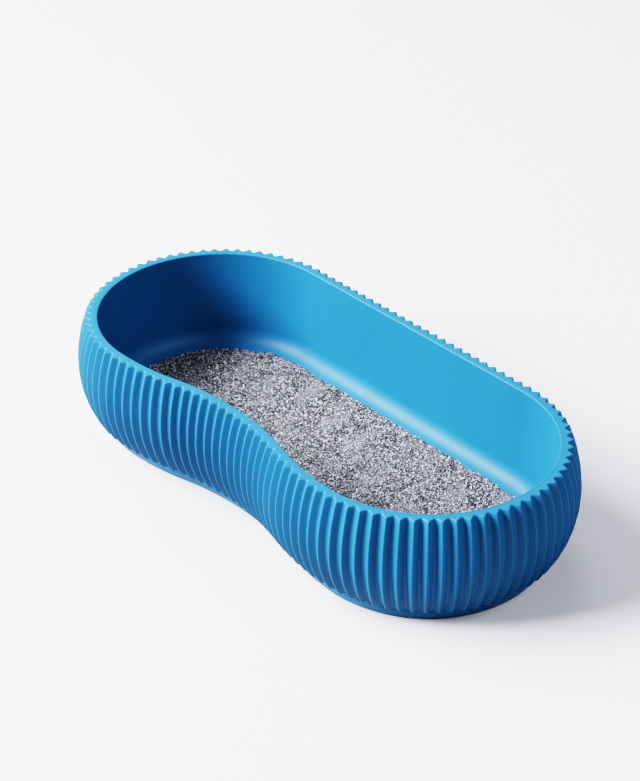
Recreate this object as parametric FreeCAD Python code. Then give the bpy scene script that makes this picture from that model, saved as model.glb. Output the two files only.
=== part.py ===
import FreeCAD, Part
import math
import os

# Open litter tray with a kidney-shaped plan: a ribbed barrel-sided outer shell, a smooth
# lift-out pan inside it, a base plate on rubber feet, and a thin bed of litter in the pan.
# Millimetres. +X is the long way, +Y the straight back, +Z up; the origin is on the floor,
# under the middle of the tray.
# Every wall runs parallel to the pan's inner rim edge. "Offset" is the distance outwards from
# that edge, measured square to it, so a wall is drawn once as a profile of (offset, height).

Vector = FreeCAD.Vector
UP = Vector(0, 0, 1)
MIDWAY = math.sqrt(0.5)       # sine and cosine in the middle of a quarter circle

# Plan of the inner rim edge
END_SPACING = 306.0        # between the centres of the two round ends
END_RADIUS = 123.0
LOBE_RADIUS = 270.0        # the fuller front on each side of the waist
WAIST_RADIUS = 295.0       # the hollow in the middle of the front
HEIGHT = 122.0

# Outer shell
SHELL_BOTTOM = 1.5
BAND_TOP = 11.0            # smooth ring that the ribs stand on
RIB_FOOT_TOP = 18.0        # below this the ribs taper off towards the ring
CREST_FOOT_OFFSET = -1.3
VALLEY_FOOT_OFFSET = -1.9
BELLY_HEIGHT = 71.0
BELLY_OFFSET = 23.0
LOWER_BULGE = 100.0        # radius of the side's curve below the belly
UPPER_BULGE = 135.0        # and above it
RIB_COUNT = 120
RIB_DEPTH = 7.0
RIB_LINE_OFFSET = 5.4      # the ribs are evenly spaced along this line
SHELL_WALL = 3.0
RIM_THICKNESS = 3.0
RIM_EDGE_OFFSET = 2.9      # inner edge of the shell's flat rim
BAND_BOTTOM_OFFSET = -6.5
BAND_TOP_OFFSET = -1.0
BAND_EDGE_RADIUS = 2.0     # rounding of its lower edge
FLANGE_TOP = 4.0
FLANGE_EDGE_OFFSET = -24.0

# Pan
PAN_BOTTOM = 9.5
PAN_WALL = 2.5
PAN_DRAFT = 1.0            # how far the wall leans in between the rim and the cove
PAN_LIP_RADIUS = 1.2
COVE_RADIUS = 19.0         # the corner between wall and floor
SKIRT_RADIUS = 45.0        # the shallower curve that runs on from it into the floor
SKIRT_SLOPE = math.radians(25)    # where the two meet

# Litter
LITTER_LEVEL = 14.9
LITTER_GAP = 0.2

# Base plate, screws and feet
PLATE_TOP = 6.5
PLATE_EDGE_OFFSET = -13.2
PAN_GAP = 0.3
STIFFENER_WIDTH = 2.0
LONG_STIFFENER_YS = (-25.0, 10.0, 45.0)
LONG_STIFFENER_LENGTH = 400.0
CROSS_STIFFENER_COUNT = 7
CROSS_STIFFENER_SPACING = 55.0
CROSS_STIFFENER_SPAN = (-32.0, 62.0)
SCREW_COUNT = 10
SCREW_LINE_OFFSET = -18.0
SCREW_RADIUS = 1.75
SCREW_HEAD_RADIUS = 3.5
SCREW_HEAD_HEIGHT = 1.3
SCREW_TIP = 9.4
CROSS_RECESS_LENGTH = 3.6
CROSS_RECESS_WIDTH = 0.9
CROSS_RECESS_DEPTH = 0.8
BOSS_RADIUS = 4.0
BOSS_TOP = 10.0
FOOT_RADIUS = 11.0
FOOT_EDGE = 1.0
FOOT_STEM_RADIUS = 2.5
FOOT_BULB_RADIUS = 3.4
FOOT_TOP = 8.6
FOOT_ANGLES = (45.0, -45.0, 135.0, -135.0)
FOOT_LINE_OFFSET = -37.0


class Straight:
    """The straight back of the outline, from its left end to its right end."""

    def length(self, offset):
        return END_SPACING

    def point(self, fraction, offset, height):
        return Vector((fraction - 0.5) * END_SPACING, END_RADIUS + offset, height)

    def edge(self, offset, height):
        return Part.makeLine(self.point(0, offset, height), self.point(1, offset, height))

    def sweep(self, edge):
        return edge.extrude(Vector(END_SPACING, 0, 0))


class Round:
    """A round stretch of the outline. side is 1 where it is full and -1 where it is hollow."""

    def __init__(self, x, y, radius, side, start, turn):
        self.centre = Vector(x, y, 0)
        self.radius = radius
        self.side = side
        self.start = start
        self.turn = turn

    def length(self, offset):
        return abs(self.turn) * (self.radius + self.side * offset)

    def point(self, fraction, offset, height):
        angle = self.start + fraction * self.turn
        radius = self.radius + self.side * offset
        return self.centre + Vector(radius * math.cos(angle), radius * math.sin(angle), height)

    def edge(self, offset, height):
        ends = [self.point(fraction, offset, height) for fraction in (0, 0.5, 1)]
        return Part.Arc(*ends).toShape()

    def sweep(self, edge):
        return edge.revolve(self.centre, UP, math.degrees(self.turn))


def outline():
    """The closed outline, clockwise from the left end of the back."""
    end_x = END_SPACING / 2
    lobe_y = LOBE_RADIUS - END_RADIUS
    reach = LOBE_RADIUS + WAIST_RADIUS
    swing = math.asin(end_x / reach)
    waist_y = lobe_y - reach * math.cos(swing)
    quarter = math.pi / 2
    return [
        Straight(),
        Round(end_x, 0, END_RADIUS, 1, quarter, -math.pi),
        Round(end_x, lobe_y, LOBE_RADIUS, 1, -quarter, -swing),
        Round(0, waist_y, WAIST_RADIUS, -1, quarter - swing, 2 * swing),
        Round(-end_x, lobe_y, LOBE_RADIUS, 1, swing - quarter, -swing),
        Round(-end_x, 0, END_RADIUS, 1, -quarter, -math.pi),
    ]


STRETCHES = outline()


def stations(count, line_offset):
    """Evenly spaced places round the outline, the first in the middle of the back."""
    total = sum(stretch.length(line_offset) for stretch in STRETCHES)
    places = []
    for index in range(count):
        distance = (END_SPACING / 2 + total * index / count) % total
        for stretch in STRETCHES:
            length = stretch.length(line_offset)
            if distance < length:
                places.append((stretch, distance / length))
                break
            distance -= length
    return places


def closed_solid(faces):
    shell = Part.makeShell(faces)
    shell.sewShape()
    solid = Part.makeSolid(shell)
    if solid.Volume < 0:
        solid.reverse()
    return solid


def cap(offset, height):
    return Part.Face(Part.Wire([stretch.edge(offset, height) for stretch in STRETCHES]))


def swept_solid(profile):
    """The solid inside a wall. profile lists its pieces from the bottom up, each with two
    (offset, height) points for a straight piece or three for an arc."""
    faces = []
    for stretch in STRETCHES:
        for piece in profile:
            points = [stretch.point(0, offset, height) for offset, height in piece]
            edge = Part.Arc(*points).toShape() if len(points) == 3 else Part.makeLine(*points)
            faces.append(stretch.sweep(edge))
    faces.append(cap(*profile[0][0]))
    faces.append(cap(*profile[-1][-1]))
    return closed_solid(faces)


def upright(offset, bottom, top):
    return swept_solid([((offset, bottom), (offset, top))])


def crest_offset(height):
    """How far out the ribs' crests stand at this height."""
    radius = LOWER_BULGE if height < BELLY_HEIGHT else UPPER_BULGE
    return BELLY_OFFSET - radius + math.sqrt(radius ** 2 - (height - BELLY_HEIGHT) ** 2)


def bulging_arc(bottom, top, inset):
    """Three points of the side's curve, moved inwards by inset."""
    heights = (bottom, (bottom + top) / 2, top)
    return [(crest_offset(height) - inset, height) for height in heights]


def ribbed_barrel():
    """The barrel with its ribs: flat flanks between a crest curve and the next valley curve,
    tapering off at the foot."""
    spans = ((RIB_FOOT_TOP, BELLY_HEIGHT), (BELLY_HEIGHT, HEIGHT))
    curves = []
    for index, (stretch, fraction) in enumerate(stations(2 * RIB_COUNT, RIB_LINE_OFFSET)):
        in_valley = index % 2
        inset = RIB_DEPTH * in_valley
        foot_offset = VALLEY_FOOT_OFFSET if in_valley else CREST_FOOT_OFFSET
        foot = stretch.point(fraction, foot_offset, BAND_TOP)
        knee = stretch.point(fraction, crest_offset(RIB_FOOT_TOP) - inset, RIB_FOOT_TOP)
        pieces = [Part.makeLine(foot, knee)]
        for bottom, top in spans:
            points = [stretch.point(fraction, *place) for place in bulging_arc(bottom, top, inset)]
            pieces.append(Part.Arc(*points).toShape())
        curves.append(pieces)
    faces = []
    for curve, following in zip(curves, curves[1:] + curves[:1]):
        faces += [Part.makeRuledSurface(*pair) for pair in zip(curve, following)]
    for end in (0, -1):
        corners = [curve[end].Vertexes[end].Point for curve in curves]
        faces.append(Part.Face(Part.makePolygon(corners + corners[:1])))
    return closed_solid(faces)


def base_band():
    along = BAND_EDGE_RADIUS * MIDWAY
    knee = (BAND_BOTTOM_OFFSET + along, SHELL_BOTTOM + BAND_EDGE_RADIUS - along)
    shoulder = (BAND_BOTTOM_OFFSET + BAND_EDGE_RADIUS, SHELL_BOTTOM + BAND_EDGE_RADIUS)
    return swept_solid([
        ((BAND_BOTTOM_OFFSET, SHELL_BOTTOM), knee, shoulder),
        (shoulder, (BAND_TOP_OFFSET, BAND_TOP)),
    ])


def outer_shell():
    inset = RIB_DEPTH + SHELL_WALL
    hollow = swept_solid([
        bulging_arc(FLANGE_TOP, BELLY_HEIGHT, inset),
        bulging_arc(BELLY_HEIGHT, HEIGHT - RIM_THICKNESS, inset),
    ])
    shell = ribbed_barrel().fuse(base_band()).removeSplitter()
    shell = shell.cut(hollow)
    shell = shell.cut(upright(RIM_EDGE_OFFSET, HEIGHT - 2 * RIM_THICKNESS, HEIGHT + 1))
    shell = shell.cut(upright(FLANGE_EDGE_OFFSET, 0, FLANGE_TOP + 1))
    for place in screw_places():
        hole = Part.makeCylinder(SCREW_RADIUS, FLANGE_TOP, place)
        recess = Part.makeCylinder(SCREW_HEAD_RADIUS, SHELL_BOTTOM + SCREW_HEAD_HEIGHT, place)
        shell = shell.cut(hole.fuse(recess))
    return shell


def pan_centres():
    """Centres of the pan's cove and of its skirt, as (offset, height)."""
    step = SKIRT_RADIUS - COVE_RADIUS
    skirt_height = PAN_BOTTOM + PAN_WALL + SKIRT_RADIUS
    cove = (-PAN_DRAFT - COVE_RADIUS, skirt_height - step * math.cos(SKIRT_SLOPE))
    return cove, (cove[0] - step * math.sin(SKIRT_SLOPE), skirt_height)


def hollow_arc(centre, radius, start, end):
    """Three points of an arc that curves up from the floor; its slope runs from start to end."""
    return [(centre[0] + radius * math.sin(slope), centre[1] - radius * math.cos(slope))
            for slope in (start, (start + end) / 2, end)]


def pan():
    cove, skirt = pan_centres()
    faces = []
    for wall in (PAN_WALL, 0):
        faces.append([
            hollow_arc(skirt, SKIRT_RADIUS + wall, 0, SKIRT_SLOPE),
            hollow_arc(cove, COVE_RADIUS + wall, SKIRT_SLOPE, math.pi / 2),
        ])
    outside, inside = faces
    outer = swept_solid(outside + [(outside[-1][-1], (PAN_WALL, HEIGHT))])
    lip_start = (0, HEIGHT - PAN_LIP_RADIUS)
    setback = PAN_LIP_RADIUS * (1 - MIDWAY)
    inner = swept_solid(inside + [
        (inside[-1][-1], lip_start),
        (lip_start, (setback, HEIGHT - setback), (PAN_LIP_RADIUS, HEIGHT)),
    ])
    return outer.cut(inner)


def litter_bed():
    skirt = pan_centres()[1]
    radius = SKIRT_RADIUS - LITTER_GAP
    return swept_solid([hollow_arc(skirt, radius, 0, math.acos((skirt[1] - LITTER_LEVEL) / radius))])


def screw_places():
    return [stretch.point(fraction, SCREW_LINE_OFFSET, 0)
            for stretch, fraction in stations(SCREW_COUNT, SCREW_LINE_OFFSET)]


def foot_places():
    """One foot under each quarter of the tray, one at the back and one behind the waist."""
    places = []
    radius = END_RADIUS + FOOT_LINE_OFFSET
    for angle in FOOT_ANGLES:
        turn = math.radians(angle)
        side = math.copysign(END_SPACING / 2, math.cos(turn))
        places.append(Vector(side + radius * math.cos(turn), radius * math.sin(turn), 0))
    back, waist = STRETCHES[0], STRETCHES[3]
    return places + [stretch.point(0.5, FOOT_LINE_OFFSET, 0) for stretch in (back, waist)]


def base_plate():
    plate = upright(PLATE_EDGE_OFFSET, FLANGE_TOP, PLATE_TOP)
    stiffener_height = PAN_BOTTOM - PAN_GAP - PLATE_TOP
    for y in LONG_STIFFENER_YS:
        corner = Vector(-LONG_STIFFENER_LENGTH / 2, y - STIFFENER_WIDTH / 2, PLATE_TOP)
        plate = plate.fuse(Part.makeBox(LONG_STIFFENER_LENGTH, STIFFENER_WIDTH, stiffener_height, corner))
    front, back = CROSS_STIFFENER_SPAN
    for index in range(CROSS_STIFFENER_COUNT):
        x = (index - (CROSS_STIFFENER_COUNT - 1) / 2) * CROSS_STIFFENER_SPACING
        corner = Vector(x - STIFFENER_WIDTH / 2, front, PLATE_TOP)
        plate = plate.fuse(Part.makeBox(STIFFENER_WIDTH, back - front, stiffener_height, corner))
    for place in screw_places():
        plate = plate.fuse(Part.makeCylinder(BOSS_RADIUS, BOSS_TOP - FLANGE_TOP, place + UP * FLANGE_TOP))
    for place in screw_places():
        plate = plate.cut(Part.makeCylinder(SCREW_RADIUS, SCREW_TIP, place))
    for place in foot_places():
        plate = plate.cut(Part.makeCylinder(FOOT_STEM_RADIUS, PAN_BOTTOM, place))
    return plate.removeSplitter()


def screw(place):
    """A pan-head screw driven up from below, its head sunk in the shell's flange."""
    head = Part.makeCylinder(SCREW_HEAD_RADIUS, SCREW_HEAD_HEIGHT, place + UP * SHELL_BOTTOM)
    shank = Part.makeCylinder(SCREW_RADIUS, SCREW_TIP - SHELL_BOTTOM, place + UP * SHELL_BOTTOM)
    body = head.fuse(shank).removeSplitter()
    length, width = CROSS_RECESS_LENGTH, CROSS_RECESS_WIDTH
    for size_x, size_y in ((length, width), (width, length)):
        corner = place + Vector(-size_x / 2, -size_y / 2, SHELL_BOTTOM)
        body = body.cut(Part.makeBox(size_x, size_y, CROSS_RECESS_DEPTH, corner))
    return body


def foot(place):
    """A rubber foot pushed into the base plate: pad, stem and the bulb that holds it."""
    pad = Part.makeCylinder(FOOT_RADIUS, FLANGE_TOP, place)
    rim = [edge for edge in pad.Edges if edge.Curve.TypeId == "Part::GeomCircle" and edge.CenterOfMass.z < 1]
    pad = pad.makeFillet(FOOT_EDGE, rim)
    stem = Part.makeCylinder(FOOT_STEM_RADIUS, PLATE_TOP - FLANGE_TOP, place + UP * FLANGE_TOP)
    bulb = Part.makeCone(FOOT_BULB_RADIUS, FOOT_STEM_RADIUS / 2, FOOT_TOP - PLATE_TOP, place + UP * PLATE_TOP)
    return pad.fuse(stem).fuse(bulb).removeSplitter()


def build():
    parts = {
        "outer_shell": outer_shell(),
        "inner_pan": pan(),
        "litter_bed": litter_bed(),
        "base_plate": base_plate(),
        "base_screws": Part.makeCompound([screw(place) for place in screw_places()]),
    }
    for number, place in enumerate(foot_places(), start=1):
        parts["foot_%d" % number] = foot(place)
    return parts


os.makedirs("parts", exist_ok=True)
for name, shape in build().items():
    shape.exportStep("parts/%s.step" % name)
    print(name, "valid", shape.isValid(), "volume cm3", round(shape.Volume / 1000, 1),
          "solids", len(shape.Solids))
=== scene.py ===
"""Kidney-shaped litter tray: ribbed shell, smooth lift-out pan, granular litter, base and feet."""
import math

import bpy
import numpy as np
from mathutils import Matrix, Vector


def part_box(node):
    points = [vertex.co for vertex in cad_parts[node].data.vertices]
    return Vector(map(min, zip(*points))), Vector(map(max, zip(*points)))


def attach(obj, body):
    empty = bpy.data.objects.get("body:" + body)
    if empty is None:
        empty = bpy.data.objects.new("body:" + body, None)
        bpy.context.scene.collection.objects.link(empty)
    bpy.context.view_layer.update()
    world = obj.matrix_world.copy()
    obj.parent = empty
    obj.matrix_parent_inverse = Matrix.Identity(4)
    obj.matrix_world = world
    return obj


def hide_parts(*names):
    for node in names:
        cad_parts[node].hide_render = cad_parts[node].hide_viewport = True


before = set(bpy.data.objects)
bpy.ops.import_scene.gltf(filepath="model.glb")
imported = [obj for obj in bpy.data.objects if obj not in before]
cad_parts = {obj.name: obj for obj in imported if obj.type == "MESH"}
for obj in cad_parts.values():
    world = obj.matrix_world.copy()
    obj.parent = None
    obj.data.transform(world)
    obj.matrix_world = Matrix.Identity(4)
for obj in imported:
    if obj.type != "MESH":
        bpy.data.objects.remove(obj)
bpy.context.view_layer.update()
MM = 0.001

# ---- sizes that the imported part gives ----
pan_low, pan_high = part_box("inner_pan")
shell_low, shell_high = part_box("outer_shell")
litter_low, litter_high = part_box("litter_bed")
plate_low, plate_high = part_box("base_plate")

PAN_WALL = 2.5 * MM
END_RADIUS = pan_high.y - PAN_WALL           # inner rim edge at the two round ends
END_X = pan_high.x - pan_high.y              # their centres
HEIGHT = pan_high.z
FLOOR = pan_low.z + PAN_WALL                 # the pan's inside floor
BAND_BOTTOM = shell_low.z
FLANGE_TOP = plate_low.z
LITTER_LEVEL = litter_high.z

# ---- sizes of the outline and the walls; "offset" is measured outwards from the inner rim edge ----
LOBE_RADIUS = 270 * MM
WAIST_RADIUS = 295 * MM
BELLY_HEIGHT = 71 * MM
BELLY_OFFSET = shell_high.x - END_X - END_RADIUS
LOWER_BULGE = 100 * MM
UPPER_BULGE = 135 * MM
RIB_COUNT = 120
RIB_DEPTH = 7 * MM
RIB_LINE_OFFSET = 5.4 * MM
CREST_ROUNDING = 1.0 * MM
VALLEY_ROUNDING = 2.3 * MM
SHELL_WALL = 3 * MM
RIM_THICKNESS = 3 * MM
RIM_EDGE_OFFSET = 2.75 * MM                  # the shell's inner edge, beside the pan's lip
RIM_EDGE_ROUNDING = 0.12 * MM
RIM_ROUNDING = 2.1 * MM                      # over the outer edge, along the ribs' ends
RIM_FLAT_OFFSET = 4.2 * MM
BAND_BOTTOM_OFFSET = -6.5 * MM
BAND_TOP_OFFSET = -1.0 * MM
BAND_EDGE_RADIUS = 2 * MM
BAND_TOP = 11 * MM                           # the smooth band under the ribs
RIB_RISE = 7 * MM                            # height over which a rib swells out of the band
FLANGE_EDGE_OFFSET = -24 * MM
PAN_COLUMNS = 480                            # points round the outline in one ring of the pan
PLAIN_COLUMNS = 360                          # and in one ring of a hidden piece
SCREW_COUNT = 10
SCREW_LINE_OFFSET = -18 * MM
SCREW_HOLE_RADIUS = 1.9 * MM
SCREW_HEAD_RADIUS = 3.7 * MM                 # with room round the head
SCREW_HEAD_HEIGHT = 1.3 * MM                 # how deep its hole is widened for the head

PAN_DRAFT = 1 * MM
COVE_RADIUS = 19 * MM                        # the corner between wall and floor
SKIRT_RADIUS = 45 * MM                       # the shallower curve that runs on from it
SKIRT_SLOPE = math.radians(25)               # where the two meet
SKIRT_CENTRE_HEIGHT = FLOOR + SKIRT_RADIUS
COVE_CENTRE_OFFSET = -PAN_DRAFT - COVE_RADIUS
COVE_CENTRE_HEIGHT = SKIRT_CENTRE_HEIGHT - (SKIRT_RADIUS - COVE_RADIUS) * math.cos(SKIRT_SLOPE)
SKIRT_CENTRE_OFFSET = COVE_CENTRE_OFFSET - (SKIRT_RADIUS - COVE_RADIUS) * math.sin(SKIRT_SLOPE)
LIP_RADIUS = 1.3 * MM
LIP_OUTER_OFFSET = 2.65 * MM
LIP_OUTER_ROUNDING = 0.12 * MM


# ---- outline ----
def outline_arcs():
    """Round stretches of the inner rim edge, clockwise from the right end of the back."""
    lobe_y = LOBE_RADIUS - END_RADIUS
    reach = LOBE_RADIUS + WAIST_RADIUS
    swing = math.asin(END_X / reach)
    waist_y = lobe_y - reach * math.cos(swing)
    quarter = math.pi / 2
    return [
        ((END_X, 0), END_RADIUS, 1, quarter, -math.pi),
        ((END_X, lobe_y), LOBE_RADIUS, 1, -quarter, -swing),
        ((0, waist_y), WAIST_RADIUS, -1, quarter - swing, 2 * swing),
        ((-END_X, lobe_y), LOBE_RADIUS, 1, swing - quarter, -swing),
        ((-END_X, 0), END_RADIUS, 1, -quarter, -math.pi),
    ]


ARCS = outline_arcs()


def outline_length(offset):
    return 2 * END_X + sum(abs(turn) * (radius + side * offset) for _, radius, side, _, turn in ARCS)


def outline(shares, line_offset):
    """Base points and outward normals at these shares of the way round, clockwise from the middle
    of the back, evenly spaced on the line at line_offset."""
    distance = np.asarray(shares) % 1 * outline_length(line_offset)
    base = np.column_stack([distance, np.full(len(distance), END_RADIUS)])
    normal = np.tile((0.0, 1.0), (len(distance), 1))
    start = END_X
    for centre, radius, side, first_angle, turn in ARCS:
        length = abs(turn) * (radius + side * line_offset)
        here = (distance >= start) & (distance < start + length)
        angle = first_angle + turn * (distance[here] - start) / length
        direction = np.column_stack([np.cos(angle), np.sin(angle)])
        base[here] = np.array(centre) + radius * direction
        normal[here] = side * direction
        start += length
    last = distance >= start
    base[last, 0] = distance[last] - start - END_X
    return base, normal


def crest_offset(height):
    """How far out the ribs' crests stand at this height."""
    radius = LOWER_BULGE if height < BELLY_HEIGHT else UPPER_BULGE
    return BELLY_OFFSET - radius + math.sqrt(radius ** 2 - (height - BELLY_HEIGHT) ** 2)


# ---- mesh building ----
def swept_mesh(name, base, normal, rings, closed=False, smooth=True):
    """A wall round the outline. rings are (offset, height), going up outside and down inside;
    closed joins the last to the first, and otherwise both ends are capped."""
    columns = len(base)
    points = np.empty((len(rings), columns, 3))
    for ring, (offset, height) in zip(points, rings):
        ring[:, :2] = base + normal * np.broadcast_to(offset, columns)[:, None]
        ring[:, 2] = height
    around = np.arange(columns)
    following = (around + 1) % columns
    faces = []
    for index in range(len(rings) if closed else len(rings) - 1):
        low = index * columns
        high = (index + 1) % len(rings) * columns
        corners = [low + around, high + around, high + following, low + following]
        faces += np.column_stack(corners).tolist()
    if not closed:
        faces.append(around.tolist())
        faces.append((around[::-1] + (len(rings) - 1) * columns).tolist())
    return mesh_object(name, points.reshape(-1, 3), faces, smooth)


def mesh_object(name, points, faces, smooth):
    mesh = bpy.data.meshes.new(name)
    mesh.from_pydata(np.asarray(points).tolist(), [], faces)
    mesh.update()
    if smooth:
        mesh.shade_smooth()
        weigh_normals(mesh)
    made = bpy.data.objects.new(name, mesh)
    bpy.context.scene.collection.objects.link(made)
    return made


def weigh_normals(mesh):
    """Point normals weighed by face area, so that flat stretches shade flat beside small roundings."""
    corner_points = np.empty(len(mesh.loops), int)
    mesh.loops.foreach_get("vertex_index", corner_points)
    areas = np.empty(len(mesh.polygons))
    mesh.polygons.foreach_get("area", areas)
    face_normals = np.empty(len(mesh.polygons) * 3)
    mesh.polygons.foreach_get("normal", face_normals)
    corner_counts = np.empty(len(mesh.polygons), int)
    mesh.polygons.foreach_get("loop_total", corner_counts)
    weighted = np.repeat(face_normals.reshape(-1, 3) * areas[:, None], corner_counts, axis=0)
    totals = np.zeros((len(mesh.vertices), 3))
    np.add.at(totals, corner_points, weighted)
    totals /= np.maximum(np.linalg.norm(totals, axis=1, keepdims=True), 1e-20)
    mesh.normals_split_custom_set_from_vertices(totals.tolist())


def rounded(start, end, corner, steps):
    """Points of a quarter ellipse from start to end, whose tangents meet at the corner."""
    places = []
    for step in range(steps + 1):
        angle = math.pi / 2 * step / steps
        across, along = 1 - math.sin(angle), 1 - math.cos(angle)
        places.append(tuple(
            corner[axis] + (start[axis] - corner[axis]) * across + (end[axis] - corner[axis]) * along
            for axis in (0, 1)
        ))
    return places


# ---- outer shell ----
def rib_section():
    """(share of the pitch, depth behind the sharp crest) at the points across one rib."""
    half = outline_length(RIB_LINE_OFFSET) / RIB_COUNT / 2
    slope = math.atan2(RIB_DEPTH, half)
    crest, valley = [], []
    for share in (0, 0.5, 1):
        angle = slope * share
        for places, radius in ((crest, CREST_ROUNDING), (valley, VALLEY_ROUNDING)):
            depth = radius / math.cos(slope) - radius * math.cos(angle)
            places.append((radius * math.sin(angle), depth))
    valley = [(half - x, RIB_DEPTH - depth) for x, depth in valley[::-1]]
    middle = ((crest[-1][0] + valley[0][0]) / 2, (crest[-1][1] + valley[0][1]) / 2)
    rising = crest + [middle] + valley
    falling = [(2 * half - x, depth) for x, depth in rising[-2:0:-1]]
    return [(x / (2 * half), depth) for x, depth in rising + falling]


def smooth_step(share):
    return share * share * (3 - 2 * share)


def ribbed_wall():
    """The double-curved outside with its ribs, the rim, and the plain inside of the wall."""
    section = rib_section()
    shares = np.array([(rib + share) / RIB_COUNT for rib in range(RIB_COUNT) for share, _ in section])
    depth = np.tile([depth for _, depth in section], RIB_COUNT)
    base, normal = outline(shares, RIB_LINE_OFFSET)

    def ribs(height):
        return crest_offset(height) - depth

    def inside(height):
        return crest_offset(height) - RIB_DEPTH - SHELL_WALL

    shoulder = (BAND_BOTTOM_OFFSET + BAND_EDGE_RADIUS, BAND_BOTTOM + BAND_EDGE_RADIUS)
    rings = [(inside(FLANGE_TOP), BAND_BOTTOM)]
    rings += rounded((BAND_BOTTOM_OFFSET, BAND_BOTTOM), shoulder, (shoulder[0], BAND_BOTTOM), 4)
    rings.append(((shoulder[0] + BAND_TOP_OFFSET) / 2, (shoulder[1] + BAND_TOP) / 2))
    for share in (0, 0.15, 0.3, 0.45, 0.6, 0.8, 1):
        height = BAND_TOP + RIB_RISE * share
        swell = smooth_step(share)
        rings.append((BAND_TOP_OFFSET * (1 - swell) + ribs(height) * swell, height))
    start, end = BAND_TOP + RIB_RISE, HEIGHT - RIM_ROUNDING
    rings += [(ribs(height), height) for height in np.linspace(start, end, 18)[1:]]
    edge = ribs(end)
    for angle in np.radians((25, 50, 70, 90)):
        inset = RIM_ROUNDING * (1 - math.cos(angle))
        rings.append((edge - inset, end + RIM_ROUNDING * math.sin(angle)))
    rings.append((RIM_FLAT_OFFSET, HEIGHT))
    corner = (RIM_EDGE_OFFSET, HEIGHT)
    rings += rounded((RIM_EDGE_OFFSET + RIM_EDGE_ROUNDING, HEIGHT),
                     (RIM_EDGE_OFFSET, HEIGHT - RIM_EDGE_ROUNDING), corner, 2)
    ceiling = HEIGHT - RIM_THICKNESS
    rings.append((RIM_EDGE_OFFSET, ceiling))
    rings += [(inside(height), height) for height in np.linspace(ceiling, FLANGE_TOP, 9)]
    return swept_mesh("ribbed_shell", base, normal, rings, closed=True)


def base_flange():
    """The inward flange under the shell, with a sunk hole for each base screw."""
    wall = crest_offset(FLANGE_TOP) - RIB_DEPTH - SHELL_WALL
    base, normal = outline(np.arange(PLAIN_COLUMNS) / PLAIN_COLUMNS, 0)
    rings = [
        (wall, BAND_BOTTOM),
        (wall, FLANGE_TOP),
        (FLANGE_EDGE_OFFSET, FLANGE_TOP),
        (FLANGE_EDGE_OFFSET, BAND_BOTTOM),
    ]
    flange = swept_mesh("base_flange", base, normal, rings, closed=True, smooth=False)
    places, outward = outline(np.arange(SCREW_COUNT) / SCREW_COUNT, SCREW_LINE_OFFSET)
    head_top = BAND_BOTTOM + SCREW_HEAD_HEIGHT
    for place in places + outward * SCREW_LINE_OFFSET:
        cut_cylinder(flange, place, SCREW_HOLE_RADIUS, BAND_BOTTOM - MM, FLANGE_TOP + MM)
        cut_cylinder(flange, place, SCREW_HEAD_RADIUS, BAND_BOTTOM - MM, head_top)
    return flange


def cut_cylinder(piece, place, radius, bottom, top):
    """Cut an upright round hole into the piece."""
    middle = (bottom + top) / 2
    bpy.ops.mesh.primitive_cylinder_add(
        vertices=32, radius=radius, depth=top - bottom, location=(*place, middle)
    )
    cutter = bpy.context.object
    cut = piece.modifiers.new("cut", "BOOLEAN")
    cut.operation = "DIFFERENCE"
    cut.object = cutter
    cut.solver = "EXACT"
    depsgraph = bpy.context.evaluated_depsgraph_get()
    result = bpy.data.meshes.new_from_object(piece.evaluated_get(depsgraph))
    piece.modifiers.remove(cut)
    piece.data = result
    bpy.data.objects.remove(cutter)


# ---- pan ----
def cove_ring(slope, wall=0):
    """The ring of the pan's inner face with this slope, or of the face that lies wall outside it."""
    if slope > SKIRT_SLOPE:
        offset, height, radius = COVE_CENTRE_OFFSET, COVE_CENTRE_HEIGHT, COVE_RADIUS + wall
    else:
        offset, height, radius = SKIRT_CENTRE_OFFSET, SKIRT_CENTRE_HEIGHT, SKIRT_RADIUS + wall
    return (offset + radius * math.sin(slope), height - radius * math.cos(slope))


def smooth_pan():
    """The pan's outside up to its lip, then over the lip and down its inside."""
    base, normal = outline(np.arange(PAN_COLUMNS) / PAN_COLUMNS, 0)
    slopes = np.radians(np.linspace(0, 90, 31))
    rings = [cove_ring(slope, PAN_WALL) for slope in slopes]
    rings.append((LIP_OUTER_OFFSET, HEIGHT - RIM_THICKNESS))
    rings += rounded((LIP_OUTER_OFFSET, HEIGHT - LIP_OUTER_ROUNDING),
                     (LIP_OUTER_OFFSET - LIP_OUTER_ROUNDING, HEIGHT), (LIP_OUTER_OFFSET, HEIGHT), 2)
    rings += rounded((LIP_RADIUS, HEIGHT), (0, HEIGHT - LIP_RADIUS), (0, HEIGHT), 5)
    wall_height = HEIGHT - LIP_RADIUS - COVE_CENTRE_HEIGHT
    for share in (0.2, 0.4, 0.6, 0.8):
        rings.append((-PAN_DRAFT * share, HEIGHT - LIP_RADIUS - wall_height * share))
    rings += [cove_ring(slope) for slope in slopes[::-1]]
    return swept_mesh("smooth_pan", base, normal, rings)


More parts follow.
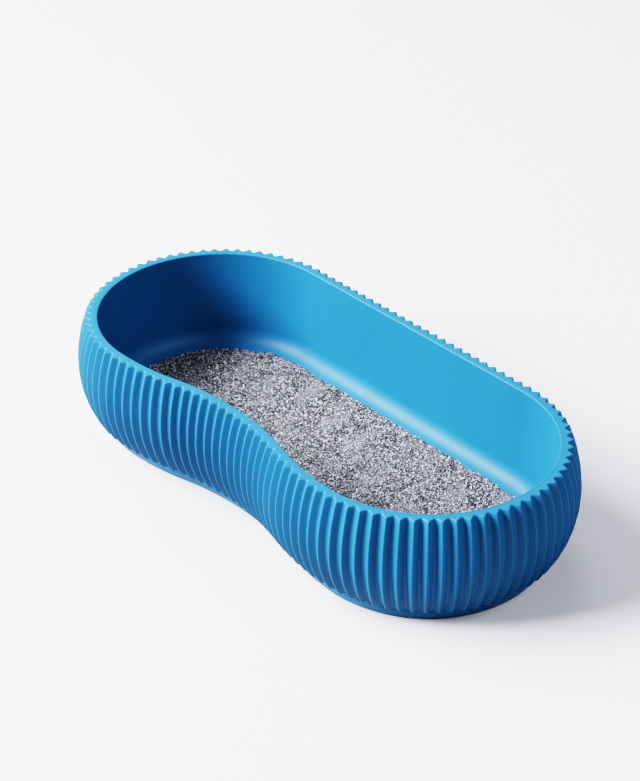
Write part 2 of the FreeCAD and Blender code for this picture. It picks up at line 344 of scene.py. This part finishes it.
# ---- litter ----
GRAIN_SPACING = 1.55 * MM
GRAIN_SIZES = (0.70 * MM, 1.35 * MM)         # half lengths
GRAIN_STRETCH = (0.6, 1.2)                   # of a grain's three axes
CORNER_STRETCH = (0.75, 1.1)
CORNER_SHIFT = 0.25
PLACE_JITTER = 0.45                          # of the spacing
EDGE_GAP = 0.6 * MM                          # from the outermost grains to the pan
GRAIN_SINK = 0.7 * MM                        # grains' middles under the litter's level
HEIGHT_JITTER = 0.35 * MM
SWELL_HEIGHT = 0.35 * MM                     # gentle unevenness of the whole bed
SWELL_LENGTH = 45 * MM
CLUMP_TONE = 0.07                            # pale and dark grains gather a little
CLUMP_LENGTH = 9 * MM
BED_SINK = 0.9 * MM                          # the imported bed's top under the litter's level
LITTER_RISE = SKIRT_CENTRE_HEIGHT - LITTER_LEVEL
EDGE_OFFSET = SKIRT_CENTRE_OFFSET + math.sqrt(SKIRT_RADIUS ** 2 - LITTER_RISE ** 2)


def packed_bed():
    """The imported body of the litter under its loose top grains."""
    base, normal = outline(np.arange(PLAIN_COLUMNS) / PLAIN_COLUMNS, 0)
    gap = litter_low.z - FLOOR
    top = math.acos((SKIRT_CENTRE_HEIGHT - LITTER_LEVEL + BED_SINK) / (SKIRT_RADIUS - gap))
    rings = [cove_ring(slope, -gap) for slope in np.linspace(0, top, 8)]
    return swept_mesh("litter_base", base, normal, rings, smooth=False)


def inside_outline(points, offset):
    """Which points lie inside the outline moved outwards by offset."""
    base, normal = outline(np.arange(720) / 720, 0)
    ring = base + normal * offset
    following = np.roll(ring, -1, axis=0)
    inside = np.zeros(len(points), bool)
    for (x0, y0), (x1, y1) in zip(ring, following):
        if y0 == y1:
            continue
        crosses = (points[:, 1] < y0) != (points[:, 1] < y1)
        inside ^= crosses & (points[:, 0] < x0 + (points[:, 1] - y0) * (x1 - x0) / (y1 - y0))
    return inside


def waves(points, rng, length, count=6):
    """Gentle random unevenness of about unit height."""
    total = np.zeros(len(points))
    for _ in range(count):
        angle = rng.uniform(0, 2 * math.pi)
        size = length * rng.uniform(0.7, 1.6)
        phase = rng.uniform(0, 2 * math.pi)
        along = points @ np.array([math.cos(angle), math.sin(angle)])
        total += np.sin(along * 2 * math.pi / size + phase)
    return total / math.sqrt(count)


def grain_places(rng):
    """Jittered even cover of the bed, and how high each grain sits."""
    spacing = GRAIN_SPACING
    xs = np.arange(litter_low.x - spacing, litter_high.x + spacing, spacing)
    ys = np.arange(litter_low.y - spacing, litter_high.y + spacing, spacing * math.sqrt(0.75))
    grid_x, grid_y = np.meshgrid(xs, ys)
    grid_x[1::2] += spacing / 2
    places = np.column_stack([grid_x.ravel(), grid_y.ravel()])
    places += rng.uniform(-PLACE_JITTER, PLACE_JITTER, places.shape) * spacing
    places = places[inside_outline(places, EDGE_OFFSET - EDGE_GAP)]
    heights = LITTER_LEVEL - GRAIN_SINK + SWELL_HEIGHT * waves(places, rng, SWELL_LENGTH)
    heights += rng.uniform(-HEIGHT_JITTER, HEIGHT_JITTER, len(places))
    return np.column_stack([places, heights])


def crushed_grains(name, places, rng):
    """Small crushed stones, each an uneven octahedron turned at random, in one mesh."""
    corners = np.array([(1, 0, 0), (-1, 0, 0), (0, 1, 0), (0, -1, 0), (0, 0, 1), (0, 0, -1)], float)
    upper = [(0, 2, 4), (2, 1, 4), (1, 3, 4), (3, 0, 4)]
    lower = [(2, 0, 5), (1, 2, 5), (3, 1, 5), (0, 3, 5)]
    sides = np.array(upper + lower)
    count = len(places)
    size = rng.uniform(*GRAIN_SIZES, (count, 1, 1)) * rng.uniform(*GRAIN_STRETCH, (count, 1, 3))
    shape = corners[None] * size * rng.uniform(*CORNER_STRETCH, (count, 6, 1))
    shape += rng.uniform(-CORNER_SHIFT, CORNER_SHIFT, (count, 6, 3)) * size
    turn = rng.normal(size=(count, 4))
    w, x, y, z = (turn / np.linalg.norm(turn, axis=1, keepdims=True)).T
    rotation = np.array([
        [1 - 2 * (y * y + z * z), 2 * (x * y - z * w), 2 * (x * z + y * w)],
        [2 * (x * y + z * w), 1 - 2 * (x * x + z * z), 2 * (y * z - x * w)],
        [2 * (x * z - y * w), 2 * (y * z + x * w), 1 - 2 * (x * x + y * y)],
    ]).transpose(2, 0, 1)
    points = np.einsum("nij,nkj->nki", rotation, shape) + places[:, None]
    faces = (sides[None] + 6 * np.arange(count)[:, None, None]).reshape(-1, 3)
    grains = mesh_object(name, points.reshape(-1, 3), faces.tolist(), smooth=False)
    tone = grains.data.attributes.new("grain_tone", "FLOAT", "POINT")
    tones = rng.uniform(0, 1, count) + CLUMP_TONE * waves(places[:, :2], rng, CLUMP_LENGTH, 24)
    tone.data.foreach_set("value", np.repeat(tones, 6).astype(np.float32))
    return grains


# ---- materials ----
def new_material(name):
    material = bpy.data.materials.new(name)
    material.use_nodes = True
    nodes = material.node_tree.nodes
    return material, nodes, material.node_tree.links, nodes["Principled BSDF"]


def noise_node(nodes, links, scale, detail, source):
    noise = nodes.new("ShaderNodeTexNoise")
    noise.inputs["Scale"].default_value = scale
    noise.inputs["Detail"].default_value = detail
    links.new(source, noise.inputs["Vector"])
    return noise.outputs["Fac"]


def mapped(nodes, links, value, low, high):
    """value from 0..1 spread over low..high."""
    spread = nodes.new("ShaderNodeMapRange")
    spread.inputs["To Min"].default_value = low
    spread.inputs["To Max"].default_value = high
    links.new(value, spread.inputs["Value"])
    return spread.outputs["Result"]


def ramp_node(nodes, links, value, stops):
    ramp = nodes.new("ShaderNodeValToRGB")
    elements = ramp.color_ramp.elements
    while len(elements) < len(stops):
        elements.new(0.5)
    for element, (position, colour) in zip(elements, stops):
        element.position = position
        element.color = (*colour, 1)
    links.new(value, ramp.inputs["Fac"])
    return ramp


PLASTIC_SHEEN = 0.12


def moulded_plastic(name, colour, roughness, texture_height):
    """Satin moulded plastic: faintly cloudy colour, uneven polish and a fine spark-eroded grain."""
    material, nodes, links, shader = new_material(name)
    place = nodes.new("ShaderNodeTexCoord").outputs["Object"]
    cloud = noise_node(nodes, links, 9, 3, place)
    deep = tuple(channel * 0.94 for channel in colour)
    pale = tuple(min(1, channel * 1.05) for channel in colour)
    ramp = ramp_node(nodes, links, cloud, [(0.3, deep), (0.7, pale)])
    links.new(ramp.outputs["Color"], shader.inputs["Base Color"])
    shader.inputs["Specular IOR Level"].default_value = PLASTIC_SHEEN
    polish = noise_node(nodes, links, 38, 4, place)
    uneven = mapped(nodes, links, polish, roughness - 0.04, roughness + 0.04)
    links.new(uneven, shader.inputs["Roughness"])
    grain = noise_node(nodes, links, 1600, 2, place)
    bump = nodes.new("ShaderNodeBump")
    bump.inputs["Strength"].default_value = 0.25
    bump.inputs["Distance"].default_value = texture_height
    links.new(grain, bump.inputs["Height"])
    links.new(bump.outputs["Normal"], shader.inputs["Normal"])
    return material


def litter_material():
    """Crushed mineral: every grain has its own tone from charcoal to white, with dusty mottling."""
    material, nodes, links, shader = new_material("crushed_litter")
    place = nodes.new("ShaderNodeTexCoord").outputs["Object"]
    tone = nodes.new("ShaderNodeAttribute")
    tone.attribute_name = "grain_tone"
    stops = [
        (0.0, (0.0035, 0.0035, 0.004)),
        (0.2, (0.014, 0.014, 0.015)),
        (0.4, (0.05, 0.05, 0.051)),
        (0.65, (0.13, 0.13, 0.133)),
        (1.0, (0.42, 0.42, 0.43)),
    ]
    ramp = ramp_node(nodes, links, tone.outputs["Fac"], stops)
    dust = noise_node(nodes, links, 900, 3, place)
    mixed = nodes.new("ShaderNodeMix")
    mixed.data_type = "RGBA"
    mixed.blend_type = "MULTIPLY"
    mixed.inputs["Factor"].default_value = 1
    links.new(ramp.outputs["Color"], mixed.inputs["A"])
    dusting = ramp_node(nodes, links, dust, [(0.35, (0.75, 0.75, 0.76)), (0.65, (1, 1, 1))])
    links.new(dusting.outputs["Color"], mixed.inputs["B"])
    links.new(mixed.outputs["Result"], shader.inputs["Base Color"])
    shader.inputs["Roughness"].default_value = 0.85
    return material


def packed_material():
    material, nodes, links, shader = new_material("packed_litter")
    place = nodes.new("ShaderNodeTexCoord").outputs["Object"]
    speck = noise_node(nodes, links, 700, 2, place)
    ramp = ramp_node(nodes, links, speck, [(0.35, (0.02, 0.02, 0.022)), (0.65, (0.10, 0.10, 0.105))])
    links.new(ramp.outputs["Color"], shader.inputs["Base Color"])
    shader.inputs["Roughness"].default_value = 0.95
    return material


def rubber_material():
    material, nodes, links, shader = new_material("foot_rubber")
    place = nodes.new("ShaderNodeTexCoord").outputs["Object"]
    dust = noise_node(nodes, links, 60, 4, place)
    ramp = ramp_node(nodes, links, dust, [(0.3, (0.018, 0.018, 0.02)), (0.75, (0.05, 0.05, 0.052))])
    links.new(ramp.outputs["Color"], shader.inputs["Base Color"])
    links.new(mapped(nodes, links, dust, 0.6, 0.85), shader.inputs["Roughness"])
    return material


def screw_material():
    material, nodes, links, shader = new_material("zinc_steel")
    place = nodes.new("ShaderNodeTexCoord").outputs["Object"]
    scratch = noise_node(nodes, links, 400, 5, place)
    ramp = ramp_node(nodes, links, scratch, [(0.3, (0.42, 0.42, 0.43)), (0.7, (0.66, 0.66, 0.68))])
    links.new(ramp.outputs["Color"], shader.inputs["Base Color"])
    links.new(mapped(nodes, links, scratch, 0.25, 0.5), shader.inputs["Roughness"])
    shader.inputs["Metallic"].default_value = 1
    return material


def give(piece, material):
    piece.data.materials.clear()
    piece.data.materials.append(material)


# ---- the object ----
BLUE = (0.0085, 0.059, 0.121)
BASE_BLUE = (0.005, 0.036, 0.083)

shell_plastic = moulded_plastic("shell_plastic", BLUE, 0.50, 0.03 * MM)
pan_plastic = moulded_plastic("pan_plastic", BLUE, 0.50, 0.03 * MM)
base_plastic = moulded_plastic("base_plastic", BASE_BLUE, 0.55, 0.08 * MM)

shell = ribbed_wall()
give(shell, shell_plastic)
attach(shell, "casing")
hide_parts("outer_shell")

flange = base_flange()
give(flange, shell_plastic)
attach(flange, "casing")

pan = smooth_pan()
give(pan, pan_plastic)
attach(pan, "pan")
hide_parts("inner_pan")

bed = packed_bed()
give(bed, packed_material())
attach(bed, "pan")
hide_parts("litter_bed")

LITTER_SEED = 7
LITTER_PIECES = 3

litter_rng = np.random.default_rng(LITTER_SEED)
grains = grain_places(litter_rng)
grains = grains[np.argsort(grains[:, 0])]
grain_look = litter_material()
for number, share in enumerate(np.array_split(grains, LITTER_PIECES), start=1):
    piece = crushed_grains("litter_grains_%d" % number, share, litter_rng)
    give(piece, grain_look)
    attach(piece, "pan")

give(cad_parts["base_plate"], base_plastic)
give(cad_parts["base_screws"], screw_material())
rubber = rubber_material()
for name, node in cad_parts.items():
    if name.startswith("foot_"):
        give(node, rubber)


# ---- stage, light and camera ----
def floor_material():
    material, nodes, links, shader = new_material("paper_floor")
    place = nodes.new("ShaderNodeTexCoord").outputs["Object"]
    cloud = noise_node(nodes, links, 2, 2, place)
    ramp = ramp_node(nodes, links, cloud, [(0.2, (0.385, 0.385, 0.385)), (0.8, (0.40, 0.40, 0.40))])
    links.new(ramp.outputs["Color"], shader.inputs["Base Color"])
    shader.inputs["Roughness"].default_value = 0.9
    shader.inputs["Specular IOR Level"].default_value = 0.2
    return material


def pale_floor():
    bpy.ops.mesh.primitive_circle_add(vertices=96, radius=14, fill_type="NGON")
    floor = bpy.context.object
    floor.name = "floor"
    give(floor, floor_material())


LAMP_COLOUR = (0.88, 0.89, 1.0)
LAMP_DISTANCE = 3.2
LAMPS = [                                    # name, azimuth, elevation, width and height, watts
    ("key", -28, 33, (1.2, 1.4), 570),
    ("side", -58, 42, (1.6, 1.6), 450),
    ("end", 112, 42, (1.8, 1.8), 100),
    ("back", -131, 50, (1.6, 1.6), 54),
]
WORLD_STRENGTH = 0.23


def soft_light(name, azimuth, elevation, size, power):
    """A soft box that faces the tray; azimuth turns from -Y towards +X, in degrees."""
    turn, rise = math.radians(azimuth), math.radians(elevation)
    back = Vector((math.sin(turn) * math.cos(rise), -math.cos(turn) * math.cos(rise), math.sin(rise)))
    light = bpy.data.lights.new(name, "AREA")
    light.shape = "RECTANGLE"
    light.size, light.size_y = size
    light.energy = power
    light.color = LAMP_COLOUR
    lamp = bpy.data.objects.new(name, light)
    lamp.location = back * LAMP_DISTANCE
    lamp.rotation_mode = "QUATERNION"
    lamp.rotation_quaternion = back.to_track_quat("Z", "Y")
    bpy.context.scene.collection.objects.link(lamp)


def pale_world(colour, strength):
    world = bpy.data.worlds.new("studio")
    world.use_nodes = True
    background = world.node_tree.nodes["Background"]
    background.inputs["Color"].default_value = (*colour, 1)
    background.inputs["Strength"].default_value = strength
    bpy.context.scene.world = world


CAMERA_AZIMUTH = 48.98
CAMERA_ELEVATION = 32.07
CAMERA_DISTANCE = 2.1228
CAMERA_LENS = 101.0
CAMERA_SHIFT_RIGHT = 1.65 * MM
CAMERA_SHIFT_DOWN = 18.66 * MM


def photo_camera():
    """A long lens that looks down at the rim's middle from the front right."""
    turn, rise = math.radians(CAMERA_AZIMUTH), math.radians(CAMERA_ELEVATION)
    right = Vector((math.cos(turn), math.sin(turn), 0))
    back = Vector((math.sin(turn) * math.cos(rise), -math.cos(turn) * math.cos(rise), math.sin(rise)))
    up = back.cross(right)
    data = bpy.data.cameras.new("camera")
    data.lens = CAMERA_LENS
    data.sensor_width = 36
    camera = bpy.data.objects.new("camera", data)
    place = Vector((0, 0, HEIGHT)) + back * CAMERA_DISTANCE
    place += right * CAMERA_SHIFT_RIGHT - up * CAMERA_SHIFT_DOWN
    camera.matrix_world = Matrix.Translation(place) @ Matrix((right, up, back)).transposed().to_4x4()
    bpy.context.scene.collection.objects.link(camera)
    bpy.context.scene.camera = camera


pale_floor()
for lamp in LAMPS:
    soft_light(*lamp)
pale_world(LAMP_COLOUR, WORLD_STRENGTH)
photo_camera()
bpy.context.scene.view_settings.view_transform = "Filmic"
bpy.context.scene.view_settings.look = "Very High Contrast"
